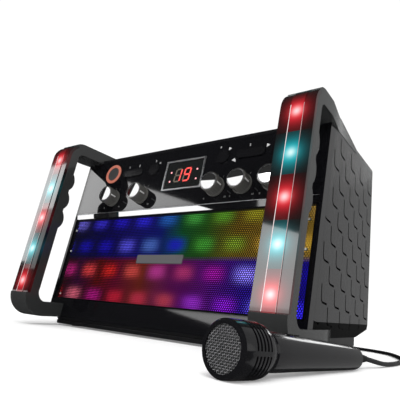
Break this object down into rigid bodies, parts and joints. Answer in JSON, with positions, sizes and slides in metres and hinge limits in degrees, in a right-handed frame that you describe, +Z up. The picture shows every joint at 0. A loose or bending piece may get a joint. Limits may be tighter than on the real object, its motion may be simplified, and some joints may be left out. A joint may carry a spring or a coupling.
{
  "type": "karaoke machine",
  "caption": "Karaoke machine with a raked front, lit grille and knobs, light columns as handles, a top disc lid, a tablet slot and a corded microphone.",
  "frame": {"origin": "on the middle of the base pan's underside, 2.5 mm above the table that the feet stand on", "axes": "+X to the right as seen from the front, +Y to the back, +Z up"},
  "size_m": [0.411, 0.4454, 0.2411],
  "materials": {
    "base_pan": "textured",
    "feet": "matt",
    "front_frame": "polished",
    "front_grille": "perforated, satin",
    "control_panel": "polished",
    "top_cover": "polished",
    "left_side_panel": "satin with grooves",
    "right_side_panel": "satin with grooves",
    "rear_cover": "fine texture",
    "cover_screws": "black zinc",
    "left_handle": "satin",
    "right_handle": "satin",
    "left_lens": "smoked, clear",
    "right_lens": "smoked, clear",
    "led_strips": "white board",
    "led_bars": "white board",
    "speaker_frames": "pressed steel",
    "speaker_cones": "paper",
    "main_board": "green board",
    "control_board": "green board",
    "display_frame": "satin silver",
    "display_window": "smoked",
    "power_ring": "lit, translucent",
    "disc_well": "satin",
    "spindle_motor": "plated",
    "guide_rods": "ground",
    "hinge_pins": "plated",
    "mic_jacks": "moulded",
    "av_jacks": "plated",
    "power_inlet": "moulded",
    "mic_body": "satin",
    "mic_head": "satin",
    "mic_mesh": "woven wire",
    "mic_boot": "ribbed",
    "mic_cord_front": "smooth",
    "mic_cord_coil": "smooth",
    "mic_cord_rear": "smooth",
    "mic_plug": "moulded, plated tip",
    "disc_lid": "polished",
    "open_button": "satin silver",
    "turntable": "moulded",
    "pickup": "moulded",
    "power_button": "satin",
    "program_button": "polished",
    "repeat_button": "polished",
    "stop_button": "polished",
    "play_button": "polished",
    "skip_rocker": "polished",
    "volume_knob": "ribbed",
    "volume_cap": "satin, bright",
    "master_knob": "ribbed",
    "master_cap": "satin, bright",
    "echo_knob": "ribbed",
    "echo_cap": "satin, bright",
    "balance_knob": "ribbed",
    "balance_cap": "satin, bright",
    "tone_knob": "ribbed",
    "tone_cap": "satin, bright",
    "mic_switch": "ribbed"
  },
  "bodies": {
    "cabinet": {"base_pan": "base_pan", "feet": "feet", "front_frame": "front_frame", "front_grille": "front_grille", "control_panel": "control_panel", "top_cover": "top_cover", "left_side_panel": "left_side_panel", "right_side_panel": "right_side_panel", "rear_cover": "rear_cover", "cover_screws": "cover_screws", "left_handle": "left_handle", "right_handle": "right_handle", "left_lens": "left_lens", "right_lens": "right_lens", "led_strips": "led_strips", "led_bars": "led_bars", "speaker_frames": "speaker_frames", "speaker_cones": "speaker_cones", "main_board": "main_board", "control_board": "control_board", "display_frame": "display_frame", "display_window": "display_window", "power_ring": "power_ring", "disc_well": "disc_well", "spindle_motor": "spindle_motor", "guide_rods": "guide_rods", "hinge_pins": "hinge_pins", "mic_jacks": "mic_jacks", "av_jacks": "av_jacks", "power_inlet": "power_inlet", "mic_body": "mic_body", "mic_head": "mic_head", "mic_mesh": "mic_mesh", "mic_boot": "mic_boot", "mic_cord_front": "mic_cord_front", "mic_cord_coil": "mic_cord_coil", "mic_cord_rear": "mic_cord_rear", "mic_plug": "mic_plug"},
    "disc_lid": {"disc_lid": "disc_lid"},
    "open_button": {"open_button": "open_button"},
    "turntable": {"turntable": "turntable"},
    "pickup": {"pickup": "pickup"},
    "power_button": {"power_button": "power_button"},
    "program_button": {"program_button": "program_button"},
    "repeat_button": {"repeat_button": "repeat_button"},
    "stop_button": {"stop_button": "stop_button"},
    "play_button": {"play_button": "play_button"},
    "skip_rocker": {"skip_rocker": "skip_rocker"},
    "volume_knob": {"volume_knob": "volume_knob", "volume_cap": "volume_cap"},
    "master_knob": {"master_knob": "master_knob", "master_cap": "master_cap"},
    "echo_knob": {"echo_knob": "echo_knob", "echo_cap": "echo_cap"},
    "balance_knob": {"balance_knob": "balance_knob", "balance_cap": "balance_cap"},
    "tone_knob": {"tone_knob": "tone_knob", "tone_cap": "tone_cap"},
    "mic_switch": {"mic_switch": "mic_switch"}
  },
  "joints": [
    {"name": "lid_hinge", "type": "hinge", "parent": "cabinet", "child": "disc_lid", "pos_m": [0, 0.075, 0.2277], "axis": [-1, 0, 0], "range_deg": [0, 75]},
    {"name": "open_press", "type": "slide", "parent": "cabinet", "child": "open_button", "axis": [0, 0, -1], "range_m": [0, 0.002], "stiffness_N_per_m": 300, "springref_m": -0.002},
    {"name": "turntable_spin", "type": "hinge", "parent": "cabinet", "child": "turntable", "pos_m": [0, 0.009, 0.2], "axis": [0, 0, 1], "continuous": true},
    {"name": "pickup_travel", "type": "slide", "parent": "cabinet", "child": "pickup", "axis": [1, 0, 0], "range_m": [0, 0.033]},
    {"name": "power_press", "type": "slide", "parent": "cabinet", "child": "power_button", "axis": [0, 0.9833, -0.1822], "range_m": [0, 0.0012], "stiffness_N_per_m": 300, "springref_m": -0.0015},
    {"name": "program_press", "type": "slide", "parent": "cabinet", "child": "program_button", "axis": [0, 0.9833, -0.1822], "range_m": [0, 0.0012], "stiffness_N_per_m": 300, "springref_m": -0.0015},
    {"name": "repeat_press", "type": "slide", "parent": "cabinet", "child": "repeat_button", "axis": [0, 0.9833, -0.1822], "range_m": [0, 0.0012], "stiffness_N_per_m": 300, "springref_m": -0.0015},
    {"name": "stop_press", "type": "slide", "parent": "cabinet", "child": "stop_button", "axis": [0, 0.9833, -0.1822], "range_m": [0, 0.0012], "stiffness_N_per_m": 300, "springref_m": -0.0015},
    {"name": "play_press", "type": "slide", "parent": "cabinet", "child": "play_button", "axis": [0, 0.9833, -0.1822], "range_m": [0, 0.0012], "stiffness_N_per_m": 300, "springref_m": -0.0015},
    {"name": "skip_rock", "type": "hinge", "parent": "cabinet", "child": "skip_rocker", "pos_m": [0.09, -0.05941, 0.204], "axis": [0, 0.1822, 0.9833], "range_deg": [-3, 3], "stiffness_Nm_per_rad": 0.2},
    {"name": "volume_turn", "type": "hinge", "parent": "cabinet", "child": "volume_knob", "pos_m": [-0.107, -0.07366, 0.1688], "axis": [0, -0.9833, 0.1822], "range_deg": [-150, 150]},
    {"name": "master_turn", "type": "hinge", "parent": "cabinet", "child": "master_knob", "pos_m": [-0.057, -0.07366, 0.1688], "axis": [0, -0.9833, 0.1822], "range_deg": [-150, 150]},
    {"name": "echo_turn", "type": "hinge", "parent": "cabinet", "child": "echo_knob", "pos_m": [0.0535, -0.07366, 0.1688], "axis": [0, -0.9833, 0.1822], "range_deg": [-150, 150]},
    {"name": "balance_turn", "type": "hinge", "parent": "cabinet", "child": "balance_knob", "pos_m": [0.087, -0.07366, 0.1688], "axis": [0, -0.9833, 0.1822], "range_deg": [-150, 150]},
    {"name": "tone_turn", "type": "hinge", "parent": "cabinet", "child": "tone_knob", "pos_m": [0.1222, -0.07366, 0.1688], "axis": [0, -0.9833, 0.1822], "range_deg": [-150, 150]},
    {"name": "mic_switch_slide", "type": "slide", "parent": "cabinet", "child": "mic_switch", "axis": [0.2076, 0.9768, -0.0533], "range_m": [0, 0.005]}
  ]
}
